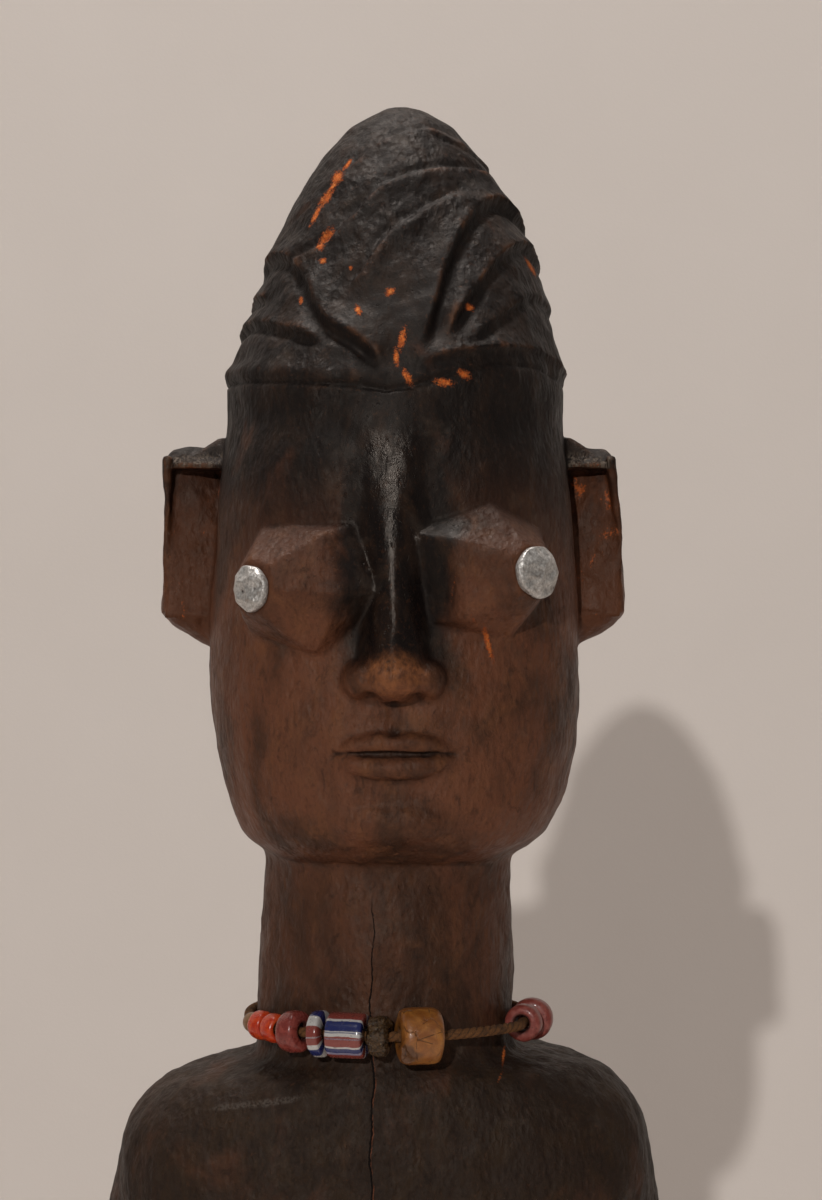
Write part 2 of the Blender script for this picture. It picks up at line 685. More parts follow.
# The hairline's seam: (degrees from the front to the left, height over the hairline in mm).
RIM_LINE = [
    (-180, 0.5), (-150, 1), (-120, 1.6), (-90, 2.2), (-66, 2.6), (-50, 2.4), (-27, 1.4), (-12, 0.7),
    (-2, -0.6),
    (5, 0.2), (13, 2.2), (21, 4), (31, 5.4), (48, 5.2), (66, 3.4), (90, 2.4), (120, 1.6), (150, 1),
    (180, 0.5),
]



def sampled(line, count=40):
    """Points along a smooth curve through a line's (turn, height in mm) points."""
    table = np.array(line, float)
    along = np.concatenate([[0], np.cumsum(np.hypot(np.diff(table[:, 0]) * 0.55, np.diff(table[:, 1])))])
    at = np.linspace(0, along[-1], count)
    slopes = np.gradient(table, along, axis=0)
    i = np.clip(np.searchsorted(along, at, side="right") - 1, 0, len(table) - 2)
    span = (along[i + 1] - along[i])[:, None]
    t = ((at - along[i])[:, None]) / span
    rows = hermite(table[i], table[i + 1], slopes[i], slopes[i + 1], span, t)
    return np.array([dome_point(turn, height / 1000) for turn, height in rows])


def signed_distance_to(points, curve, centre):
    """Distance from the curve, negative on its right as seen from outside, and the share along it."""
    nearest = np.full(len(points), 9.0)
    side = np.zeros(len(points))
    share = np.zeros(len(points))
    for i in range(len(curve) - 1):
        a, along = curve[i], curve[i + 1] - curve[i]
        length = along @ along
        t = np.clip((points - a) @ along / length, 0, 1)
        gap = points - (a + t[:, None] * along)
        distance = np.sqrt((gap**2).sum(axis=1))
        outward = a - centre
        cross = gap @ np.cross(outward, along)
        closer = distance < nearest
        nearest = np.where(closer, distance, nearest)
        side = np.where(closer, np.sign(cross), side)
        share = np.where(closer, (i + t) / (len(curve) - 1), share)
    return nearest * side, share


def fold_relief(points):
    """The headdress's folds: a long slope up to each crest, and a sharp drop behind it."""
    centre = np.array([HEAD_X, 0.004, HAIRLINE_Z + 0.015])
    relief = np.zeros(len(points))
    for line, crest, width, drop in FOLDS:
        away, share = signed_distance_to(points, sampled(line), centre)
        away = away * drop * 1000
        ends = step(share, 0.0, 0.1) * (1 - step(share, 0.8, 1.0))
        slope = np.clip(1 + away / width, 0, 1) ** 1.6
        cliff = np.clip(1 - away / (0.2 * width), 0, 1)
        groove = bell(away - 0.32 * width, 0.2 * width)
        relief += ends * crest * (np.where(away < 0, slope, cliff) * 0.74 - 0.4 * groove)
    return relief / 1000


def rim_relief(points):
    """The rolled band at the hairline: a round bulge over a cut line."""
    table = np.array(RIM_LINE, float)
    turn = np.degrees(np.arctan2(points[:, 0] - HEAD_X, -(points[:, 1] - 0.003)))
    level = HAIRLINE_Z + np.interp(turn, table[:, 0], table[:, 1]) / 1000
    above = (points[:, 2] - level) * 1000
    from_seam = np.abs(turn - 1.5)
    swell = 0.15 + 0.4 * step(from_seam, 3, 14) + 0.65 * step(from_seam, 40, 80)
    bulge = bell(above - 2.3, 1.7) * swell
    groove = bell(above + 0.15, 0.42) * 0.75
    return (bulge - groove) / 1000


def crack_x(z):
    """The drying crack's line down the neck and chest."""
    return -0.0024 + 0.0003 * np.sin(z * 210) + 0.0002 * np.sin(z * 620 + 1)


def headdress_relief(points):
    """Folds over the rolled band, shallower low on the figure's left."""
    x, z = points[:, 0], points[:, 2]
    above_band = step(z, HAIRLINE_Z + 0.0015, HAIRLINE_Z + 0.0055)
    low_left = step(x, 0.018, 0.034) * (1 - step(z, HAIRLINE_Z + 0.022, HAIRLINE_Z + 0.034))
    return (fold_relief(points) * above_band + rim_relief(points)) * (1 - 0.5 * low_left)


def tool_marks(points):
    """Large and small facets left by the blade, shallower on the face, and a slow unevenness."""
    z = points[:, 2]
    dome = step(z, HAIRLINE_Z - 0.004, HAIRLINE_Z + 0.004)
    face = step(z, CHIN_Z - 0.004, CHIN_Z + 0.006) * (1 - dome) * step(-points[:, 1], 0.004, 0.016)
    rough = 1 - 0.62 * face
    tall = points * (1.0, 1.0, 0.6)
    large = rough * 0.00085 * (chip_marks(tall, 0.008, 11) - 0.55)
    small = rough * 0.00042 * (chip_marks(points, 0.004, 5) - 0.55)
    return large, small, 0.00045 * value_noise(points, 0.021, 3) + 0.00016 * value_noise(points, 0.006, 4)


def face_cuts(points):
    """The depths of the cut between the lips, the groove over them, and the nostrils."""
    y, z = points[:, 1], points[:, 2]
    front = y < -0.03
    from_middle = np.abs(points[:, 0] - HEAD_X)
    lips = bell(z - MOUTH_Z - 0.0001, 0.00042) * (from_middle < LIP_CORNER[0])
    groove = bell(from_middle, 0.0014) * step(z, MOUTH_Z + 0.003, MOUTH_Z + 0.0055)
    under_nose = 1 - step(z, NOSE_BASE_Z - 0.001, NOSE_BASE_Z + 0.001)
    nostril = ((from_middle - 0.0047) / 0.002) ** 2 + ((z - NOSE_BASE_Z - 0.0004) / 0.0016) ** 2
    nostril += ((y + 0.0432) / 0.003) ** 2
    return 0.0011 * lips * front, 0.0007 * groove * under_nose * front, 0.0016 * np.exp(-nostril)


def crack_depth(points):
    """The drying crack, deeper on the chest than on the neck."""
    z = points[:, 2]
    length = step(z, 0.3, 0.345) * (1 - step(z, 0.424, 0.434))
    crack = bell(points[:, 0] - crack_x(z), 0.00028) * (points[:, 1] < -0.005) * length
    return crack * (0.0001 + 0.0003 * (1 - step(z, 0.375, 0.412)))


def wrapper_relief(points):
    """The wrapper's slanting pleats, and the cut along its hem."""
    x, y, z = points[:, 0], points[:, 1], points[:, 2]
    pleats = (1 - step(z, 0.196, 0.202)) * step(z, 0.128, 0.134)
    turn = np.arctan2(x, -(y - 0.003))
    wrap = np.sin(turn * 9 + (z - 0.16) * 26 + 0.6 * value_noise(points, 0.018, 8))
    hem = bell(z - 0.1345, 0.0013) * (np.hypot(x, y) > 0.03)
    return pleats * 0.00055 * np.sign(wrap) * np.abs(wrap) ** 0.6, -0.0009 * hem


def sculpt(obj):
    """Moves the fine mesh's points: folds, tool marks, cuts in the face, the drying crack and the pleats."""
    mesh = obj.data
    points = points_of(mesh)
    normals = normals_of(mesh)
    z = points[:, 2]
    on_head = z > HAIRLINE_Z - 0.008
    relief = np.zeros(len(points))
    relief[on_head] = headdress_relief(points[on_head])
    for marks in tool_marks(points):
        relief += marks
    for depth in (*face_cuts(points), crack_depth(points)):
        relief -= depth
    for marks in wrapper_relief(points):
        relief += marks

    # The crack's two lips have moved apart: the figure's left shoulder sits a little higher.
    tilt = 0.0011 * np.clip(points[:, 0] / 0.04, -1, 1) * step(z, 0.36, 0.385) * (1 - step(z, 0.404, 0.412))
    points += normals * relief[:, None]
    points[:, 2] += tilt
    underside = z < 0.0006
    points[underside, 2] = 0.0001
    set_points(mesh, points)


def curvature(mesh, times):
    """How far each point stands out from its neighbours' mean, per mm, smoothed; positive on ridges."""
    points, normals = points_of(mesh), normals_of(mesh)
    edges = np.empty(len(mesh.edges) * 2, np.int32)
    mesh.edges.foreach_get("vertices", edges)
    a, b = edges.reshape(-1, 2).T
    count = np.bincount(a, minlength=len(points)) + np.bincount(b, minlength=len(points))
    count = np.maximum(count, 1)

    def mean(values):
        total = np.bincount(a, values[b], len(points)) + np.bincount(b, values[a], len(points))
        return total / count

    around = np.stack([mean(points[:, i]) for i in range(3)], axis=1)
    span = np.linalg.norm(points[a] - points[b], axis=1)
    reach = (np.bincount(a, span, len(points)) + np.bincount(b, span, len(points))) / count
    bend = ((points - around) * normals).sum(axis=1) / np.maximum(reach, 1e-6) ** 2
    for _ in range(times):
        bend = 0.5 * bend + 0.5 * mean(bend)
    return bend / 1000


def carved_wood():
    """The figure's visible wood, fine on the head and coarser below."""
    fine, soft, most = WOOD_FINENESS
    bm = bmesh.new()
    for add in (add_head, add_trunk, add_arms, add_hips_and_wrapper, add_legs, add_base):
        add(bm)
    wood = object_from(bm, "carved_wood")
    remesh(wood, soft)
    smooth(wood, 5)
    apply_modifiers(wood)
    bm = bmesh.new()
    bm.from_mesh(wood.data)
    for add in (add_nose, add_mouth, add_eye_bosses, add_ears, add_fingers_and_toes, add_waistband):
        add(bm)
    bpy.data.objects.remove(wood)
    wood = object_from(bm, "carved_wood")
    remesh(wood, fine)
    smooth(wood, 2)
    apply_modifiers(wood)
    sculpt(wood)
    triangles = 2 * len(wood.data.polygons)
    group = wood.vertex_groups.new(name="coarse")
    z = points_of(wood.data)[:, 2]
    lower = np.where(z > CHEST_FROM_Z, THINNING["chest"], THINNING["below"])
    coarse = np.where(z > HEAD_FROM_Z, THINNING["head"], lower)
    for level in np.unique(coarse):
        group.add(np.flatnonzero(coarse == level).tolist(), float(level), "REPLACE")
    decimate = wood.modifiers.new("decimate", "DECIMATE")
    decimate.ratio = min(1.0, most / triangles)
    decimate.vertex_group = "coarse"
    decimate.vertex_group_factor = 1.0
    apply_modifiers(wood)
    wood.vertex_groups.clear()
    wood.data.shade_smooth()
    print("carved wood:", triangles, "->", len(wood.data.polygons))
    return wood


# ---- Materials -------------------------------------------------------------------------------------------
class Nodes:
    """Short calls for building a material's node tree. Lengths inside a tree are in millimetres."""

    def __init__(self, name):
        self.material = bpy.data.materials.new(name)
        self.material.use_nodes = True
        self.tree = self.material.node_tree
        self.shader = self.tree.nodes["Principled BSDF"]
        coords = self.make("TexCoord")
        to_mm = {0: coords.outputs["Object"], "Scale": 1000.0}
        self.mm = self.make("VectorMath", to_mm, operation="SCALE").outputs["Vector"]
        self.facing = coords.outputs["Normal"]
        self.places = {}

    def put(self, socket, value):
        if isinstance(value, bpy.types.NodeSocket):
            self.tree.links.new(value, socket)
        elif isinstance(value, tuple) and len(value) == 3 and socket.type == "RGBA":
            socket.default_value = (*value, 1.0)
        else:
            socket.default_value = value

    def make(self, kind, inputs=None, **settings):
        """A new node, with its inputs by name or number."""
        node = self.tree.nodes.new("ShaderNode" + kind)
        for name, value in settings.items():
            setattr(node, name, value)
        for key, value in (inputs or {}).items():
            self.put(node.inputs[key], value)
        return node

    def math(self, operation, a, b=0.0, clamp=False):
        return self.make("Math", {0: a, 1: b}, operation=operation, use_clamp=clamp).outputs[0]

    def mul(self, a, b):
        return self.math("MULTIPLY", a, b)

    def add(self, a, b, clamp=False):
        return self.math("ADD", a, b, clamp)

    def sub(self, a, b, clamp=False):
        return self.math("SUBTRACT", a, b, clamp)

    def length(self, vector):
        return self.make("VectorMath", {0: vector}, operation="LENGTH").outputs["Value"]

    def stretched(self, stretch, at):
        """The coordinates in mm, stretched and moved.

        Textures alike in both share one node. Otherwise the wood's shader is too big for Cycles, and black.
        """
        if stretch == (1, 1, 1) and at == (0, 0, 0):
            return self.mm
        if (stretch, at) not in self.places:
            scale = tuple(1 / s for s in stretch)
            place = self.make("Mapping", {"Vector": self.mm, "Location": at, "Scale": scale})
            self.places[stretch, at] = place.outputs[0]
        return self.places[stretch, at]

    def noise(self, size, detail=4.0, rough=0.55, warp=0.0, stretch=(1, 1, 1), at=(0, 0, 0)):
        """Noise from 0 to 1 with features of that size, longer along an axis whose stretch is over 1."""
        inputs = {"Vector": self.stretched(stretch, at), "Scale": 1 / size, "Detail": detail}
        return self.make("TexNoise", {**inputs, "Roughness": rough, "Distortion": warp}).outputs["Fac"]

    def cells(self, size, feature, stretch=(1, 1, 1), at=(0, 0, 0)):
        inputs = {"Vector": self.stretched(stretch, at), "Scale": 1 / size}
        return self.make("TexVoronoi", inputs, feature=feature).outputs["Distance"]

    def ramp(self, value, low, high, first=0.0, last=1.0):
        inputs = {"Value": value, "From Min": low, "From Max": high, "To Min": first, "To Max": last}
        return self.make("MapRange", inputs, interpolation_type="SMOOTHSTEP").outputs["Result"]

    def total(self, *parts):
        """The sum of the parts, each (value, weight)."""
        made = None
        for value, weight in parts:
            part = self.mul(value, weight)
            made = part if made is None else self.add(made, part)
        return made

    def within(self, *limits):
        """1 where every value is past the second of its two limits, 0 where one is short of the first."""
        inside = None
        for value, first, last in limits:
            edge = self.ramp(value, first, last)
            inside = edge if inside is None else self.mul(inside, edge)
        return inside

    def mix(self, share, a, b):
        return self.make("Mix", {0: share, 6: a, 7: b}, data_type="RGBA").outputs[2]

    def layer(self, colour, mask, low, high, share, paint):
        """Paint over a colour, at most that share of it, as the mask goes from low to high."""
        return self.mix(self.mul(self.ramp(mask, low, high), share), colour, paint)

    def attribute(self, name):
        return self.make("Attribute", attribute_name=name).outputs["Fac"]

    def split(self, vector):
        return self.make("SeparateXYZ", {0: vector}).outputs

    def spot(self, centre, radii, turn=0.0):
        """Distance from an ellipsoid's centre, 1 at its surface. turn is its roll about Y in degrees."""
        roll = (0.0, math.radians(turn), 0.0)
        inputs = {"Vector": self.mm, "Location": centre, "Rotation": roll, "Scale": radii}
        return self.length(self.make("Mapping", inputs, vector_type="TEXTURE").outputs[0])

    def bump(self, height, depth, normal=None):
        """depth is in millimetres for a height of 1."""
        inputs = {"Strength": 1.0, "Distance": depth / 1000, "Height": height}
        if normal is not None:
            inputs["Normal"] = normal
        return self.make("Bump", inputs).outputs["Normal"]

    def finish(self, colour, roughness, normal=None, **constants):
        self.put(self.shader.inputs["Base Color"], colour)
        self.put(self.shader.inputs["Roughness"], roughness)
        if normal is not None:
            self.put(self.shader.inputs["Normal"], normal)
        for name, value in constants.items():
            self.shader.inputs[name.replace("_", " ")].default_value = value
        return self.material

    def hide_from_behind(self):
        """Makes the material's rear side clear, so that a view from behind the backdrop shows the figure."""
        side = self.make("NewGeometry").outputs["Backfacing"]
        clear = self.make("BsdfTransparent").outputs["BSDF"]
        either = self.make("MixShader", {0: side, 1: self.shader.outputs["BSDF"], 2: clear})
        self.put(self.tree.nodes["Material Output"].inputs["Surface"], either.outputs["Shader"])


BLACK_PATINA = (0.006, 0.0042, 0.004)
BROWN_BLACK = (0.0185, 0.0102, 0.0068)
FACE_DARK = (0.046, 0.0195, 0.0108)
RED_BROWN = (0.128, 0.047, 0.0238)
WARM_BROWN = (0.165, 0.064, 0.027)
GREY_BROWN = (0.026, 0.0138, 0.007)
RAW_ORANGE = (0.52, 0.11, 0.02)
RAW_PALE = (0.6, 0.2, 0.05)
DUST = (0.1, 0.076, 0.058)
CRACK_RED = (0.13, 0.038, 0.016)
SHEEN_TINT = (1.0, 0.88, 0.78, 1.0)
EAR_INSIDE = (0.08, 0.027, 0.012)
NOSE_TIP = (0.33, 0.12, 0.042)
CHIP_STREAK = (0.17, 0.036, 0.011)
CHIP_RIM = (0.13, 0.028, 0.01)
CRACK_BLACK = (0.004, 0.003, 0.003)

# How the wood's textures are drawn out along its grain.
ALONG_GRAIN = (1, 1, 1.7)

# Where the patina has chipped down to raw wood: (place, radii in mm, roll about Y in degrees). A place is a
# centre in mm or, on the headdress, (degrees from the front to the left, height over the hairline in mm).
CHIPS = [
    ((-35, 47.6), (0.42, 5.0, 1.7), 34),
    ((-38, 44.8), (1.15, 5.0, 1.6), 14),
    ((-39, 42.8), (0.45, 5.0, 2.4), 40),
    ((-41, 40.4), (0.85, 5.0, 2.2), 36),
    ((-44, 36.8), (0.5, 5.0, 2.4), 24),
    ((-34, 31.8), (1.0, 5.0, 1.9), 36),
    ((-36, 29.6), (0.9, 5.0, 0.9), 20),
    ((-33, 26.4), (0.7, 4.0, 0.6), 0),
    ((-20, 24.6), (0.35, 4.0, 0.5), 20),
    ((-40, 18.4), (0.45, 4.0, 0.8), 0),
    ((-4, 19.4), (0.8, 4.0, 0.9), 45),
    ((-15, 15.6), (0.6, 4.0, 1.1), -20),
    ((1.5, 9.6), (0.7, 4.0, 2.3), 12),
    ((0, 5.9), (0.5, 4.0, 1.8), -4),
    ((4, 1.9), (0.7, 4.0, 1.7), -28),
    ((16, 0.9), (1.8, 4.0, 0.8), 6),
    ((23, 2.6), (1.4, 4.0, 0.8), 30),
    ((26, 16.5), (0.9, 4.0, 0.7), 30),
    ((69, 27.1), (0.8, 4.0, 2.2), -35),
    ((-38, 44.0), (0.3, 4.0, 1.4), 60),
    ((21.0, -35.0, 486.5), (0.6, 7.0, 3.6), -16),
    ((17.6, -36.0, 491.5), (0.45, 6.0, 2.4), -30),
    ((14.4, -37.0, 499.0), (0.35, 6.0, 4.6), 10),
    ((36.5, -8.0, 503.0), (0.6, 9.0, 3.2), -6),
    ((38.5, -6.0, 494.0), (0.5, 9.0, 3.8), -12),
    ((-37.0, -6.0, 517.0), (1.5, 6.0, 2.2), 30),
    ((25.0, -17.0, 399.6), (0.32, 9.0, 1.5), 16),
    ((23.9, -18.0, 396.4), (0.28, 9.0, 1.1), 30),
]
# A pale rubbed line across the chest, and the tint that it leaves.
CHEST_SCUFF = ((-32.5, -30.0, 390.3), (24.0, 9.0, 1.0), -9)
SCUFF_TINT = (0.17, 0.145, 0.125)


def chip_centre(place):
    return tuple(dome_point(place[0], place[1] / 1000) * 1000) if len(place) == 2 else place


def wood_material():
    n = Nodes("patinated_wood")
    x, y, z = n.split(n.mm)
    bend = n.attribute("bend")
    ridge = n.ramp(bend, 0.04, 0.26)
    hollow = n.ramp(n.mul(bend, -1.0), 0.03, 0.22)

    broad = n.noise(16, 5, 0.6, 0.6, ALONG_GRAIN)
    mottle = n.noise(5.5, 6, 0.62, 0.8, ALONG_GRAIN)
    grain = n.noise(0.8, 4, 0.6, 0.3, (1, 1, 3))
    flecks = n.noise(0.75, 5, 0.7, 0.4, ALONG_GRAIN)
    fine = n.noise(0.55, 3, 0.6)

    # Where the black of the headdress, the forehead and the nose's ridge ends.
    high = n.ramp(n.add(z, n.mul(broad, 34.0)), 508.0, 544.0)
    across = n.math("ABSOLUTE", n.sub(x, HEAD_X * 1000))
    band_edge = n.add(across, n.mul(n.sub(broad, 0.5), 14.0))
    band = n.ramp(band_edge, 9.0, 17.0, 1.0, 0.0)
    band = n.mul(band, n.ramp(n.add(z, n.mul(mottle, 10.0)), 481.0, 490.0))
    band = n.mul(band, n.ramp(y, -26.0, -34.0))
    black = n.math("MAXIMUM", high, band)
    below = n.ramp(n.add(z, n.mul(broad, 18.0)), 424.0, 404.0)

    # The stains of the face, the trunk and the black parts.
    colour = n.mix(n.ramp(broad, 0.32, 0.62), FACE_DARK, RED_BROWN)
    colour = n.layer(colour, mottle, 0.46, 0.76, 0.62, WARM_BROWN)
    torso = n.mix(n.ramp(mottle, 0.4, 0.7), BROWN_BLACK, GREY_BROWN)
    torso = n.layer(torso, broad, 0.52, 0.72, 0.3, RED_BROWN)
    nape = n.ramp(n.add(z, n.mul(broad, 12.0)), 456.0, 440.0)
    colour = n.mix(n.mul(nape, 0.38), colour, BROWN_BLACK)
    colour = n.mix(below, colour, torso)
    dark = n.mix(n.ramp(mottle, 0.42, 0.72), BLACK_PATINA, BROWN_BLACK)
    dark = n.layer(dark, broad, 0.6, 0.78, 0.35, RED_BROWN)
    colour = n.mix(black, colour, dark)

    # Wear over all of them: pores, dirt in hollows, worn ridges and dust.
    colour = n.layer(colour, grain, 0.5, 0.7, 0.07, BLACK_PATINA)
    colour = n.layer(colour, flecks, 0.46, 0.66, 0.2, BLACK_PATINA)
    colour = n.layer(colour, flecks, 0.42, 0.3, 0.12, WARM_BROWN)
    colour = n.layer(colour, n.noise(1.3, 5, 0.7), 0.55, 0.7, 0.22, BLACK_PATINA)
    colour = n.mix(n.mul(hollow, 0.72), colour, BLACK_PATINA)
    blotch = n.noise(2.6, 6, 0.72, 0.7, ALONG_GRAIN)
    colour = n.layer(colour, blotch, 0.54, 0.68, 0.45, BLACK_PATINA)
    specks = n.mul(n.ramp(n.noise(1.15, 5, 0.78, 0.6), 0.57, 0.68), n.ramp(bend, -0.04, 0.1))
    specks = n.mul(specks, n.ramp(high, 0.0, 1.0, 0.36, 0.3))
    colour = n.mix(specks, colour, WARM_BROWN)
    worn = n.mul(ridge, n.ramp(mottle, 0.4, 0.62))
    colour = n.mix(n.mul(worn, 0.5), colour, WARM_BROWN)
    rubbed = n.mul(n.ramp(bend, 0.16, 0.36), n.ramp(mottle, 0.44, 0.6))
    colour = n.mix(n.mul(rubbed, 0.3), colour, DUST)
    dusty = n.mul(n.ramp(n.noise(9, 5, 0.65, 0.4), 0.56, 0.76), 0.2)
    colour = n.mix(dusty, colour, DUST)

    # Chips with torn edges.
    nearest = None
    for centre, radii, turn in CHIPS:
        spot = n.spot(chip_centre(centre), radii, turn)
        nearest = spot if nearest is None else n.math("MINIMUM", nearest, spot)
    torn = n.add(nearest, n.mul(n.sub(n.noise(0.5, 5, 0.8, 0.8), 0.5), 3.8))
    chip = n.ramp(torn, 1.12, 0.92)
    scuffs = n.mul(n.ramp(n.noise(1.5, 3, 0.7), 0.69, 0.72), n.ramp(bend, 0.1, 0.2))
    chip = n.math("MAXIMUM", chip, n.mul(scuffs, 0.8))

    # The lighter insides of the ears, and the gouges on the front of their lids.
    in_ear = n.within(
        (across, 36.5, 39.5), (y, 12.0, 10.5), (z, 483.0, 492.0), (z, 523.5, 522.0), (across, 49.0, 47.0)
    )
    colour = n.mix(n.mul(in_ear, n.ramp(mottle, 0.34, 0.6, 0.35, 0.9)), colour, EAR_INSIDE)
    forward = n.split(n.facing)[1]
    lid = n.within(
        (across, 33.0, 38.0), (z, 522.6, 523.4), (y, 0.0, -1.5), (forward, -0.5, -0.75), (across, 49.6, 48.6),
        (z, 528.0, 527.0),
    )
    gouged = n.ramp(n.noise(0.55, 3, 0.6, 0.2, (1, 1, 16)), 0.42, 0.6)
    colour = n.mix(n.mul(lid, gouged), colour, DUST)
    torn_ear = n.add(mottle, n.mul(fine, 0.3))
    torn_ear = n.mul(in_ear, n.ramp(torn_ear, 0.77, 0.86))
    colour = n.mix(n.mul(torn_ear, 0.6), colour, RAW_ORANGE)

    # The rub on the chest, the worn tip of the nose, and the raw wood.
    scuff = n.add(n.spot(*CHEST_SCUFF), n.mul(n.sub(mottle, 0.5), 1.6))
    scuff = n.mul(n.ramp(scuff, 1.0, 0.5), n.ramp(fine, 0.35, 0.6))
    colour = n.mix(n.mul(scuff, 0.26), colour, SCUFF_TINT)
    nose_tip = n.add(n.spot((HEAD_X * 1000, -50.0, 479.5), (9.5, 9.0, 5.5)), n.mul(mottle, 0.8))
    nose_tip = n.mul(n.ramp(nose_tip, 1.5, 0.8), n.ramp(n.noise(1.8, 4, 0.6), 0.25, 0.7))
    colour = n.mix(n.mul(nose_tip, 0.5), colour, NOSE_TIP)
    raw = n.mix(n.ramp(fine, 0.42, 0.66), RAW_ORANGE, RAW_PALE)
    raw = n.layer(raw, flecks, 0.46, 0.6, 0.7, CHIP_STREAK)
    raw = n.layer(raw, torn, 0.25, 1.0, 0.8, CHIP_RIM)
    colour = n.mix(chip, colour, raw)

    # The drying crack, on crack_x's line, with one raw lip.
    line = n.add(n.mul(n.math("SINE", n.mul(z, 0.21)), 0.3), -2.4)
    ripple = n.math("SINE", n.add(n.mul(z, 0.62), 1.0))
    line = n.add(line, n.mul(ripple, 0.2))
    gap = n.sub(n.sub(x, line), n.mul(n.noise(1.3, 5, 0.75), 0.8))
    gap = n.add(gap, 0.4)
    reach = n.within((z, 330.0, 345.0), (z, 434.0, 429.0), (y, -5.0, -9.0))
    half_width = n.ramp(z, 430.0, 396.0, 0.13, 0.22)
    crack = n.mul(n.ramp(n.math("ABSOLUTE", gap), half_width, n.mul(half_width, 0.55)), reach)
    lip = n.math("ABSOLUTE", n.sub(gap, n.mul(half_width, 1.1)))
    lip = n.mul(n.ramp(lip, n.mul(half_width, 0.9), 0.05), n.ramp(z, 415.0, 395.0))
    lip = n.mul(n.mul(lip, reach), n.ramp(n.noise(2.4, 3, 0.6), 0.36, 0.56))
    colour = n.mix(n.mul(lip, 0.9), colour, CRACK_RED)
    colour = n.mix(crack, colour, CRACK_BLACK)

    # Relief too fine for the mesh, then gloss.
    tool_marks = n.cells(3.4, "SMOOTH_F1", ALONG_GRAIN)
    nicks = n.ramp(n.cells(1.5, "F1", ALONG_GRAIN), 0.15, 0.6)
    rises = n.noise(1.7, 4, 0.65, 0.3, ALONG_GRAIN)
    height = n.total((tool_marks, 0.5), (mottle, 0.3), (nicks, 0.16), (blotch, 0.3))
    height = n.add(n.add(height, n.mul(rises, 0.34)), n.mul(grain, 0.03))
    height = n.mul(height, n.ramp(band, 0.0, 1.0, 1.0, 0.28))
    height = n.sub(height, n.mul(n.mul(lid, gouged), 0.25))
    pits = n.ramp(n.noise(0.9, 3, 0.6, 0.0, ALONG_GRAIN), 0.64, 0.76)
    height = n.sub(height, n.mul(pits, 0.16))
    height = n.sub(height, n.mul(crack, 0.35))
    normal = n.bump(height, 0.74)
    normal = n.bump(n.add(fine, n.noise(0.28, 2, 0.6)), 0.045, normal)

    roughness = n.ramp(blotch, 0.36, 0.66, 0.36, 0.58)
    roughness = n.add(roughness, n.mul(below, 0.08))
    roughness = n.add(roughness, n.mul(high, 0.07))
    polish = n.mul(n.ramp(across, 8.0, 4.0), n.ramp(band, 0.3, 0.9))
    polish = n.mul(polish, n.ramp(z, 534.0, 524.0))
    roughness = n.sub(roughness, n.mul(polish, 0.26), clamp=True)
    roughness = n.math("MAXIMUM", roughness, 0.2)
    roughness = n.add(roughness, n.mul(n.math("MAXIMUM", chip, crack), 0.35))
    roughness = n.add(roughness, n.mul(fine, 0.08), clamp=True)
    return n.finish(colour, roughness, normal, Specular_IOR_Level=0.2, Specular_Tint=SHEEN_TINT)


def metal_material():
    n = Nodes("hammered_nail_metal")
    dents = n.noise(1.9, 3, 0.55, 0.3)
    fine = n.noise(0.5, 4, 0.65)
    dirt = n.ramp(n.mul(n.attribute("bend"), -1.0), 0.02, 0.35)
    colour = n.mix(n.ramp(fine, 0.35, 0.7), (0.34, 0.318, 0.295), (0.6, 0.58, 0.555))
    colour = n.mix(n.ramp(n.noise(2.6, 4, 0.6, at=(4, 4, 4)), 0.52, 0.72), colour, (0.23, 0.2, 0.175))
    colour = n.mix(dirt, colour, (0.05, 0.04, 0.035))
    normal = n.bump(dents, 0.5)
    normal = n.bump(fine, 0.05, normal)
    return n.finish(colour, n.ramp(fine, 0.3, 0.7, 0.3, 0.46), normal, Metallic=0.55)


def cord_material():
    n = Nodes("twisted_plant_fibre")
    ply = n.attribute("ply")
    fibre = n.noise(0.16, 3, 0.6, 0.2)
    colour = n.mix(n.ramp(fibre, 0.35, 0.68), (0.075, 0.03, 0.01), (0.195, 0.085, 0.029))
    colour = n.mix(n.ramp(n.noise(3.2, 3, 0.6), 0.45, 0.7), colour, (0.048, 0.024, 0.012))
    colour = n.mix(n.ramp(ply, 0.45, 0.05), colour, (0.028, 0.015, 0.009))
    normal = n.bump(fibre, 0.1)
    return n.finish(colour, n.ramp(fibre, 0.3, 0.7, 0.78, 0.95), normal, Specular_IOR_Level=0.25)


def glass_bead_material(name, base, second, gloss):
    """Opaque wound glass: streaks along the winding, small pits, and dirt round the bore."""
    n = Nodes(name)
    grime = (0.05, 0.022, 0.018)
    streaks = n.noise(1.1, 4, 0.6, 0.5)
    pits = n.ramp(n.noise(0.42, 2, 0.5, at=(3, 1, 2)), 0.64, 0.74)
    colour = n.mix(n.ramp(streaks, 0.38, 0.68), base, second)
    colour = n.mix(n.mul(pits, 0.7), colour, grime)
    mouth = n.attribute("mouth")
    colour = n.mix(n.mul(n.ramp(n.add(mouth, n.mul(streaks, 0.3)), 0.55, 1.1), 0.85), colour, grime)
    normal = n.bump(n.sub(n.mul(streaks, 0.5), pits), 0.07)
    roughness = n.ramp(streaks, 0.35, 0.7, gloss, gloss + 0.16)
    return n.finish(colour, roughness, normal, Specular_IOR_Level=0.35, Coat_Weight=0.12, Coat_Roughness=0.1)


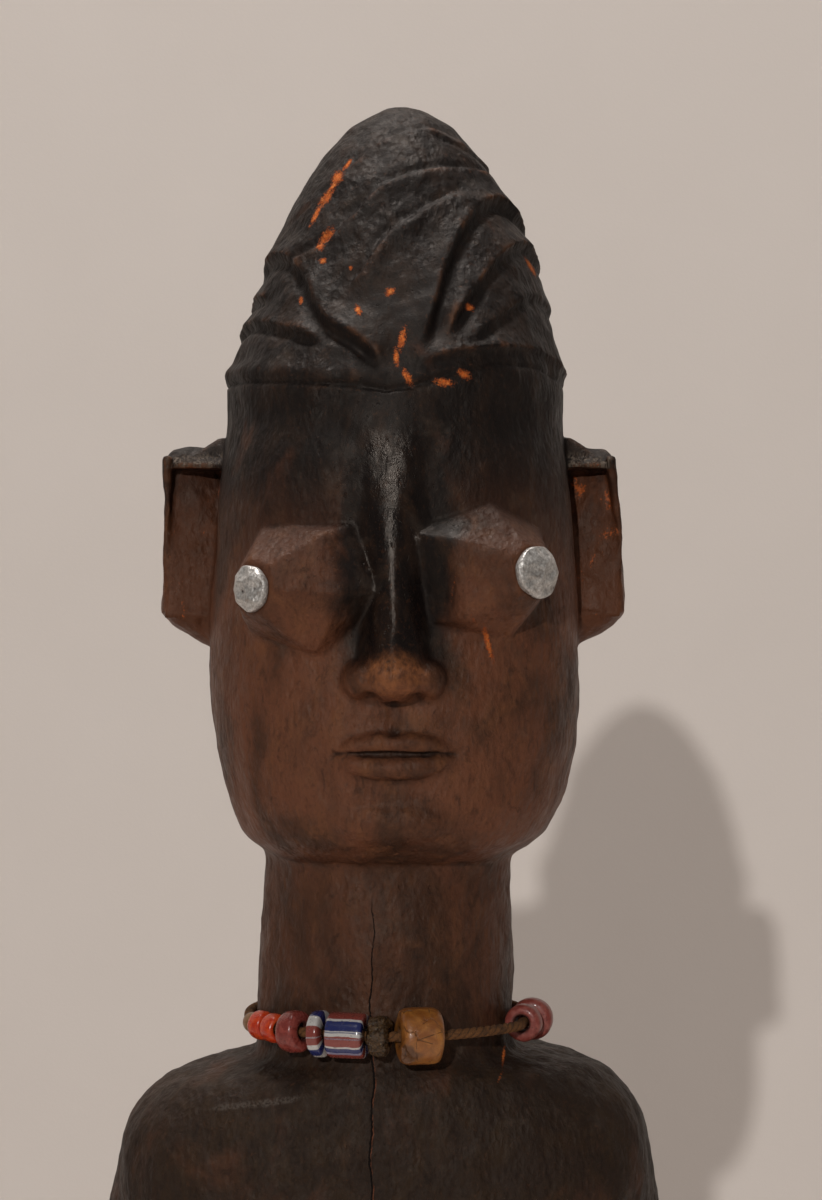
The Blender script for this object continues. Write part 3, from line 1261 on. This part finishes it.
# Stripes of the drawn-glass beads, from the top down the front: (end as a share of the way round, colour).
BRICK = (0.2, 0.04, 0.031)
WHITE = (0.46, 0.44, 0.42)
NAVY = (0.012, 0.018, 0.095)
LILAC = (0.235, 0.215, 0.3)
TUBE_STRIPES = [
    (0.105, BRICK), (0.125, WHITE), (0.2, NAVY), (0.208, WHITE), (0.214, NAVY), (0.24, WHITE),
    (0.312, BRICK), (0.326, WHITE), (0.366, NAVY), (0.388, LILAC), (0.47, BRICK), (0.49, WHITE),
    (0.56, NAVY), (0.59, WHITE), (0.68, BRICK), (0.7, WHITE), (0.76, NAVY), (0.79, LILAC),
    (0.88, BRICK), (0.9, WHITE), (0.96, NAVY), (0.98, WHITE), (1.0, BRICK),
]
RING_STRIPES = [
    (0.09, NAVY), (0.172, WHITE), (0.312, BRICK), (0.345, WHITE), (0.42, NAVY), (0.5, WHITE),
    (0.62, BRICK), (0.66, WHITE), (0.74, NAVY), (0.8, WHITE), (0.92, BRICK), (1.0, WHITE),
]


def striped_material(name, stripes):
    n = Nodes(name)
    wobble = n.mul(n.sub(n.noise(2.2, 3, 0.5), 0.5), 0.018)
    from_top = n.math("FRACT", n.add(n.attribute("round"), 0.25))
    share = n.add(from_top, wobble)
    colour = stripes[0][1]
    for (edge, _), (_, paint) in zip(stripes, stripes[1:]):
        colour = n.mix(n.ramp(share, edge - 0.004, edge + 0.004), colour, paint)
    pits = n.ramp(n.noise(0.45, 2, 0.5, at=(3, 1, 2)), 0.63, 0.72)
    grime = (0.05, 0.028, 0.022)
    colour = n.mix(n.mul(pits, 0.6), colour, grime)
    mouth = n.ramp(n.add(n.attribute("mouth"), n.mul(n.noise(1.0), 0.3)), 0.75, 1.15)
    colour = n.mix(n.mul(mouth, 0.85), colour, grime)
    normal = n.bump(n.sub(n.noise(1.2, 3, 0.5), pits), 0.05)
    roughness = n.ramp(n.noise(1.4), 0.35, 0.7, 0.14, 0.3)
    return n.finish(colour, roughness, normal, Coat_Weight=0.35, Coat_Roughness=0.1)


def olive_material():
    n = Nodes("rough_olive_seed")
    lumps = n.noise(0.9, 5, 0.7, 0.6)
    colour = n.mix(n.ramp(lumps, 0.36, 0.66), (0.022, 0.011, 0.0045), (0.09, 0.044, 0.013))
    colour = n.mix(n.ramp(n.noise(0.5, 3, 0.6, at=(1, 7, 3)), 0.6, 0.72), colour, (0.22, 0.14, 0.045))
    normal = n.bump(lumps, 0.45)
    normal = n.bump(n.noise(0.22, 3, 0.6), 0.08, normal)
    return n.finish(colour, n.ramp(lumps, 0.35, 0.7, 0.22, 0.55), normal)


def amber_material():
    n = Nodes("cracked_ochre")
    broad = n.noise(3.0, 4, 0.6, 0.5)
    fine = n.noise(0.5, 4, 0.65)
    colour = n.mix(n.ramp(broad, 0.36, 0.68), (0.205, 0.064, 0.01), (0.35, 0.135, 0.022))
    colour = n.layer(colour, fine, 0.5, 0.7, 0.5, (0.2, 0.085, 0.028))
    cracks = n.ramp(n.cells(5.5, "DISTANCE_TO_EDGE", at=(2, 4, 0)), 0.016, 0.004)
    cracks = n.mul(cracks, n.ramp(n.noise(2.0, 3, 0.6, at=(6, 2, 9)), 0.46, 0.6))
    stains = n.ramp(n.noise(1.9, 5, 0.7, 0.6, at=(3, 8, 4)), 0.52, 0.7)
    colour = n.mix(n.mul(stains, 0.55), colour, (0.115, 0.042, 0.012))
    colour = n.mix(n.mul(cracks, 0.6), colour, (0.055, 0.024, 0.01))
    broken = n.attribute("broken")
    colour = n.mix(n.mul(broken, 0.85), colour, (0.07, 0.027, 0.01))
    mouth = n.ramp(n.attribute("mouth"), 0.55, 1.05)
    colour = n.mix(n.mul(mouth, 0.8), colour, (0.07, 0.032, 0.014))
    normal = n.bump(n.sub(n.mul(fine, 0.35), cracks), 0.22)
    roughness = n.ramp(broad, 0.35, 0.7, 0.34, 0.52)
    return n.finish(colour, roughness, normal, Coat_Weight=0.15, Coat_Roughness=0.2)


def ivory_material():
    n = Nodes("worn_ivory")
    broad = n.noise(1.4, 4, 0.6, 0.5)
    colour = n.mix(n.ramp(broad, 0.36, 0.68), (0.15, 0.066, 0.02), (0.23, 0.112, 0.04))
    colour = n.mix(n.ramp(n.noise(0.4, 3), 0.56, 0.7), colour, (0.15, 0.075, 0.03))
    colour = n.layer(colour, n.attribute("mouth"), 0.5, 1.05, 0.8, (0.09, 0.045, 0.02))
    return n.finish(colour, n.ramp(broad, 0.3, 0.7, 0.32, 0.5), n.bump(broad, 0.12))


# ---- The cord and its knot -------------------------------------------------------------------------------
def cord_distance(degrees):
    """The cord's distance from the neck's axis, on a smooth curve through the route's points."""
    route, last = CORD_ROUTE, len(CORD_ROUTE) - 1
    i = max(k for k in range(last) if route[k][0] <= degrees)
    (a0, r0), (a1, r1) = route[i], route[i + 1]
    before = route[i - 1] if i > 0 else (route[last - 1][0] - 360, route[last - 1][1])
    after = route[i + 2] if i + 2 <= last else (route[1][0] + 360, route[1][1])
    slope0 = (r1 - before[1]) / (a1 - before[0])
    slope1 = (after[1] - r0) / (after[0] - a0)
    span = a1 - a0
    return hermite(r0, r1, slope0, slope1, span, (degrees - a0) / span)


def on_cord(degrees):
    distance, angle = cord_distance(degrees), math.radians(degrees)
    return Vector((distance * math.sin(angle), -distance * math.cos(angle), NECKLACE_Z))


def twisted_tube(bm, path, radius, pitch=0.0052, plies=3, sides=18, taper=0.0):
    """A laid string along the path: its section has one lobe for each ply and turns as it goes.

    Returns each vertex's place on its ply, 0 in the groove and 1 on the crest.
    """
    crests = []
    rings = []
    travelled = 0.0
    up = Vector((0, 0, 1))
    for i, point in enumerate(path):
        along = (path[min(i + 1, len(path) - 1)] - path[max(i - 1, 0)]).normalized()
        side = along.cross(up).normalized()
        top = side.cross(along)
        if i:
            travelled += (path[i] - path[i - 1]).length
        size = radius * (1 - taper * i / (len(path) - 1))
        ring = []
        for k in range(sides):
            angle = math.tau * k / sides
            crest = abs(math.cos(plies / 2 * (angle - math.tau * travelled / pitch)))
            reach = size * (0.8 + 0.26 * crest)
            ring.append(bm.verts.new(point + (side * math.cos(angle) + top * math.sin(angle)) * reach))
            crests.append(crest)
        rings.append(ring)
    bridge(bm, rings)
    return crests


FIBRE_RADIUS = 0.00006


def fibres(bm, path, radius, count, reach, rng):
    """Loose hairs that stand off the string. Each is a thin three-sided spike."""
    crests = []
    for _ in range(count):
        at = path[rng.integers(2, len(path) - 2)]
        away = Vector(rng.normal(size=3)).normalized()
        sweep = Vector(rng.normal(size=3)).normalized() * reach * 0.4
        length = reach * rng.uniform(0.4, 1.0)
        start = at + away * radius * 0.7
        middle = start + away * length * 0.5
        end = middle + (away * 0.3 + Vector((0, 0, -0.5))) * length * 0.5 + sweep
        a, b = away.orthogonal().normalized(), away.cross(away.orthogonal()).normalized()
        corners = [a * math.cos(angle) + b * math.sin(angle) for angle in (0, math.tau / 3, math.tau * 2 / 3)]
        rings = []
        for centre in (start, middle):
            rings.append([bm.verts.new(centre + corner * FIBRE_RADIUS) for corner in corners])
        tip = bm.verts.new(end)
        bm.faces.new(reversed(rings[0]))
        for k in range(3):
            j = (k + 1) % 3
            bm.faces.new((rings[0][k], rings[0][j], rings[1][j], rings[1][k]))
            bm.faces.new((rings[1][k], rings[1][j], tip))
        crests += [1.0] * 7
    return crests


fibre_material = cord_material()


def necklace_cord():
    first, last = -180 + KNOT_HALF_ANGLE - 1.5, 180 - KNOT_HALF_ANGLE + 1.5
    count = 520
    path = [on_cord(first + (last - first) * i / (count - 1)) for i in range(count)]
    bm = bmesh.new()
    crests = twisted_tube(bm, path, CORD_RADIUS)
    length = sum((b - a).length for a, b in zip(path, path[1:]))
    string = object_from(bm, "necklace_string")
    set_attribute(string.data, "ply", np.array(crests))
    string.data.materials.append(fibre_material)
    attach(string, "necklace")
    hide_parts("necklace_cord")
    return string, path, length


def necklace_knot():
    """An overhand knot: the string's two ends cross in a small tangle, and leave as frayed tails."""
    rng = np.random.default_rng(5)
    centre = on_cord(180)
    bm = bmesh.new()
    reach = 0.0042
    tangle = []
    for i in range(90):
        t = i / 89 * math.tau
        x = math.sin(t) * 0.0017 + math.sin(2 * t) * 0.0013
        z = math.cos(t) * 0.0011 - math.cos(2 * t) * 0.001 + 0.0004
        tangle.append(centre + Vector((x, math.cos(3 * t) * 0.0009, z)))
    crests = twisted_tube(bm, tangle, CORD_RADIUS * 0.92)
    for side in (-1, 1):
        stub = [centre.lerp(centre + Vector((side * reach, -0.0003, 0)), i / 11) for i in range(12)]
        crests += twisted_tube(bm, stub, CORD_RADIUS * 0.97)
        tail = []
        for t in (i / 29 for i in range(30)):
            drop = -0.0006 * t - 0.0018 * t * t
            tail.append(centre + Vector((side * 0.008 * t, 0.0005 + 0.006 * t**0.8, drop)))
        crests += twisted_tube(bm, tail, CORD_RADIUS * 0.9, taper=0.25)
        crests += fibres(bm, tail[20:], CORD_RADIUS * 0.7, 16, 0.0022, rng)
    knot = object_from(bm, "necklace_tied_knot")
    set_attribute(knot.data, "ply", np.array(crests))
    knot.data.materials.append(fibre_material)
    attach(knot, "necklace")
    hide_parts("necklace_knot")
    return knot


# ---- Beads -----------------------------------------------------------------------------------------------
def bead_frame(name):
    """The bead's place: its origin at its middle, and +Z along its bore towards the figure's left."""
    degrees, lean = BEADS[name][0], BEADS[name][5]
    along = (on_cord(degrees + 2) - on_cord(degrees - 2)).normalized()
    if name == "amber_bead":
        angle = math.radians(degrees)
        along = Vector((math.cos(angle), math.sin(angle), 0.0))
    outward = along.cross(Vector((0, 0, 1)))
    leaning = Matrix.Rotation(math.radians(lean), 3, outward) @ along
    place = leaning.to_track_quat("Z", "Y").to_matrix().to_4x4()
    place.translation = on_cord(degrees)
    return place


# name: (depth of its dents in mm, their size in mm, seed)
BEAD_SHAPES = {
    "ivory_bead": (0.1, 2.0, 1),
    "orange_bead_rear": (0.13, 2.2, 2),
    "orange_bead_front": (0.13, 2.2, 3),
    "brick_bead_right": (0.14, 3.2, 4),
    "striped_ring_bead": (0.08, 3.0, 5),
    "striped_tube_bead": (0.07, 4.0, 6),
    "olive_bead": (0.6, 1.6, 7),
    "amber_bead": (0.16, 3.4, 8),
    "brick_bead_left_front": (0.13, 2.6, 9),
    "brick_bead_left_rear": (0.13, 2.8, 10),
}


# The piece broken off the ochre bead, as a ball: the way to its middle, how far that is, how far it is moved
# along the bead's bore, the ball's radius and its soft edge.
BREAK_WAY = (0.0, -0.78, -0.62)
BREAK_DISTANCE = 0.0082
BREAK_ALONG = -0.0046
BREAK_RADIUS = 0.0046
BREAK_EDGE = 0.0004


def bead_outline(radius, half, bore, squareness):
    """Half a bead's section as a closed line of (distance from its axis, height), from its bore outward."""
    ease, steps = 0.00035, 30
    outline = [(bore, height) for height in np.linspace(ease - half, half - ease, 6)]
    inner = bore + ease
    for k in range(steps + 1):
        angle = math.pi / 2 - math.pi * k / steps
        across, along = abs(math.cos(angle)), math.sin(angle)
        height = half * math.copysign(abs(along) ** (2 / squareness), along)
        outline.append((inner + (radius - inner) * across ** (2 / squareness), height))
    return outline


def break_off(points, place):
    """Presses a rough ball into the bead, and returns how broken each point is."""
    down = place.inverted().to_3x3() @ Vector(BREAK_WAY)
    centre = np.array(down) * BREAK_DISTANCE + np.array((0, 0, BREAK_ALONG))
    ball = BREAK_RADIUS + 0.0007 * value_noise(points * 1000, 1.2, 3)
    gap = points - centre
    reach = np.linalg.norm(gap, axis=1)
    inside = reach < ball
    points[inside] = centre + gap[inside] / reach[inside, None] * ball[inside, None]
    return 1 - step(reach, ball, ball + BREAK_EDGE)


def bead(name, material):
    _, radius, length, bore, squareness, _, slot_name = BEADS[name]
    depth, size, seed = BEAD_SHAPES[name]
    sides, half = 96, length / 2
    outline = bead_outline(radius, half, bore, squareness)
    bm = bmesh.new()
    grid = []
    for k in range(sides):
        angle = math.tau * k / sides
        grid.append([bm.verts.new((r * math.cos(angle), r * math.sin(angle), h)) for r, h in outline])
    for k in range(sides):
        j = (k + 1) % sides
        for i in range(len(outline)):
            m = (i + 1) % len(outline)
            bm.faces.new((grid[k][i], grid[j][i], grid[j][m], grid[k][m]))
    made = object_from(bm, name + "_body_shape")
    mesh = made.data
    points = points_of(mesh)
    far = np.hypot(points[:, 0], points[:, 1])
    turn = np.arctan2(points[:, 1], points[:, 0])
    outer = step(far, bore + 0.0002, bore + 0.001)
    place = bead_frame(name)
    dents = value_noise(points * 1000 + seed * 31, size, seed) - 0.5
    if name == "olive_bead":
        dents += 0.7 * value_noise(points * 1000 + seed * 17, 0.7, seed + 1) - 0.3
    points += normals_of(mesh) * (dents * depth * outer / 1000)[:, None]
    points[:, 2] = np.clip(points[:, 2], -half, half)
    broken = break_off(points, place) * outer if name == "amber_bead" else np.zeros(len(points))
    set_points(mesh, points)
    set_attribute(mesh, "round", turn / math.tau + 0.5)
    set_attribute(mesh, "mouth", 1 - np.clip((far - bore) / (0.55 * (radius - bore)), 0, 1))
    set_attribute(mesh, "broken", broken)
    mesh.transform(place)
    mesh.materials.append(material)
    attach(made, name + "_body")
    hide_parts(name)
    return made


string, string_path, string_length = necklace_cord()
knot = necklace_knot()
orange = glass_bead_material("orange_glass", (0.4, 0.026, 0.006), (0.52, 0.06, 0.011), 0.22)
brick = glass_bead_material("brick_glass", (0.165, 0.028, 0.022), (0.245, 0.05, 0.038), 0.2)
pink_brick = glass_bead_material("dusty_brick_glass", (0.19, 0.037, 0.028), (0.28, 0.078, 0.06), 0.32)
bead_materials = {
    "ivory_bead": ivory_material(),
    "orange_bead_rear": orange,
    "orange_bead_front": orange,
    "brick_bead_right": brick,
    "striped_ring_bead": striped_material("striped_ring_glass", RING_STRIPES),
    "striped_tube_bead": striped_material("striped_tube_glass", TUBE_STRIPES),
    "olive_bead": olive_material(),
    "amber_bead": amber_material(),
    "brick_bead_left_front": pink_brick,
    "brick_bead_left_rear": pink_brick,
}
strung = [bead(name, material) for name, material in bead_materials.items()]

# ---- The wooden figure -----------------------------------------------------------------------------------
wood = carved_wood()
set_attribute(wood.data, "bend", curvature(wood.data, 3))
wood.data.materials.clear()
wood.data.materials.append(wood_material())
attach(wood, "figure")
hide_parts("carved_figure")


# ---- The eye nails ---------------------------------------------------------------------------------------
NAIL_SHANK_RADIUS = 0.0012
NAIL_SHANK_DEPTH = 0.012
NAIL_RIM = 0.0015
NAIL_CROWN = 0.0026


def nail_outline(radius):
    """Half a nail's section: (distance from its axis, height) from its buried point to its crown."""
    shank, flat = NAIL_SHANK_RADIUS, 0.95
    outline = [(0.0, -NAIL_SHANK_DEPTH - 0.003), (shank, -NAIL_SHANK_DEPTH), (shank, CLEARANCE)]
    outline += [(r, CLEARANCE) for r in np.linspace(shank, radius * flat, 10)[1:]]
    for k in range(9):
        angle = math.pi * (-0.5 + k / 8)
        reach = radius * (flat + 0.05 * math.cos(angle))
        outline.append((reach, CLEARANCE + 0.0008 + 0.0007 * math.sin(angle)))
    for share in np.linspace(0.93, 0.0, 26):
        outline.append((radius * share, CLEARANCE + NAIL_RIM + (NAIL_CROWN - NAIL_RIM) * (1 - share**2.4)))
    return outline


def nail_head(name, metal):
    """A hand-hammered head, thick at its rim and dented, on a short length of shank."""
    radius = EYE_NAILS[name][2]
    sides = 96
    bm = bmesh.new()
    rings = []
    for r, h in nail_outline(radius):
        angles = [0.0] if r < 1e-9 else [math.tau * k / sides for k in range(sides)]
        rings.append([bm.verts.new((r * math.cos(angle), r * math.sin(angle), h)) for angle in angles])
    for low, high in zip(rings, rings[1:]):
        for k in range(sides):
            j = (k + 1) % sides
            corners = [low[k % len(low)], low[j % len(low)], high[j % len(high)], high[k % len(high)]]
            bm.faces.new(list(dict.fromkeys(corners)))
    made = object_from(bm, name + "_hammered")
    mesh = made.data
    points = points_of(mesh)
    far = np.hypot(points[:, 0], points[:, 1])
    turn = np.arctan2(points[:, 1], points[:, 0])
    seed = 40 if name.startswith("left") else 60
    wobble = 1.0
    for size, waves, start in ((0.045, 2, seed), (0.028, 3, 2 * seed), (0.015, 7, 0)):
        wobble = wobble + size * np.sin(waves * turn + start)
    head = points[:, 2] > CLEARANCE * 0.9
    rim = step(far, 0.5 * radius, radius)
    points[:, :2] *= np.where(head, 1 + (wobble - 1) * rim, 1.0)[:, None]
    top = step(points[:, 2], CLEARANCE + 0.0009, CLEARANCE + 0.0016)
    dents = chip_marks(points + seed, 0.0027, seed) - 0.6
    points[:, 2] += top * 0.0011 * dents
    set_points(mesh, points)
    mesh.transform(nail_frame(name))
    set_attribute(mesh, "bend", curvature(mesh, 2) * 0.5)
    mesh.materials.append(metal)
    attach(made, "figure")
    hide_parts(name)


nail_metal = metal_material()
for nail_name in EYE_NAILS:
    nail_head(nail_name, nail_metal)


# ---- Studio: a pale floor that curves up into a pale wall, and soft light from the upper left ------------
WALL_Y = 0.55
FLOOR_REACH = 2.2


def studio():
    bm = bmesh.new()
    bend, steps = 0.12, 12
    profile = [(-FLOOR_REACH, 0.0), (WALL_Y - bend, 0.0)]
    for k in range(1, steps + 1):
        angle = math.pi / 2 * k / steps
        profile.append((WALL_Y - bend + bend * math.sin(angle), bend - bend * math.cos(angle)))
    profile.append((WALL_Y, FLOOR_REACH))
    rows = [[bm.verts.new((x, y, z)) for y, z in profile] for x in (-FLOOR_REACH, FLOOR_REACH)]
    for i in range(len(profile) - 1):
        bm.faces.new((rows[0][i], rows[1][i], rows[1][i + 1], rows[0][i + 1]))
    backdrop = object_from(bm, "backdrop")
    if backdrop.data.polygons[0].normal.z < 0:
        backdrop.data.flip_normals()
    n = Nodes("painted_plaster")
    cloudy = n.noise(60, 4, 0.5)
    colour = n.mix(cloudy, (0.6, 0.545, 0.505), (0.63, 0.575, 0.535))
    backdrop.data.materials.append(n.finish(colour, 0.9, n.bump(n.noise(1.2, 3), 0.03)))
    n.hide_from_behind()


def area_light(name, at, towards, size, power, colour):
    data = bpy.data.lights.new(name, "AREA")
    data.shape = "DISK"
    data.size = size
    data.energy = power
    data.color = colour
    light = linked(name, data)
    light.location = at
    light.rotation_euler = (Vector(towards) - Vector(at)).to_track_quat("-Z", "Y").to_euler()


studio()
HEAD_MIDDLE = (0.0, 0.0, 0.47)
WALL_BEHIND = (0.0, WALL_Y, 0.3)
area_light("key", (-0.648, -3.6, 1.602), HEAD_MIDDLE, size=0.07, power=60.0, colour=(1.0, 0.985, 0.96))
area_light("overhead", (-0.45, -0.7, 1.6), HEAD_MIDDLE, size=0.35, power=0.4, colour=(1.0, 0.97, 0.94))
area_light("wall_wash", (-0.2, 0.14, 2.6), WALL_BEHIND, size=0.6, power=42.0, colour=(1.0, 0.96, 0.93))
world = bpy.data.worlds.new("room")
bpy.context.scene.world = world
world.use_nodes = True
background = world.node_tree.nodes["Background"].inputs
background["Color"].default_value = (1.0, 0.95, 0.91, 1.0)
background["Strength"].default_value = 0.15
bpy.context.scene.view_settings.view_transform = "Standard"
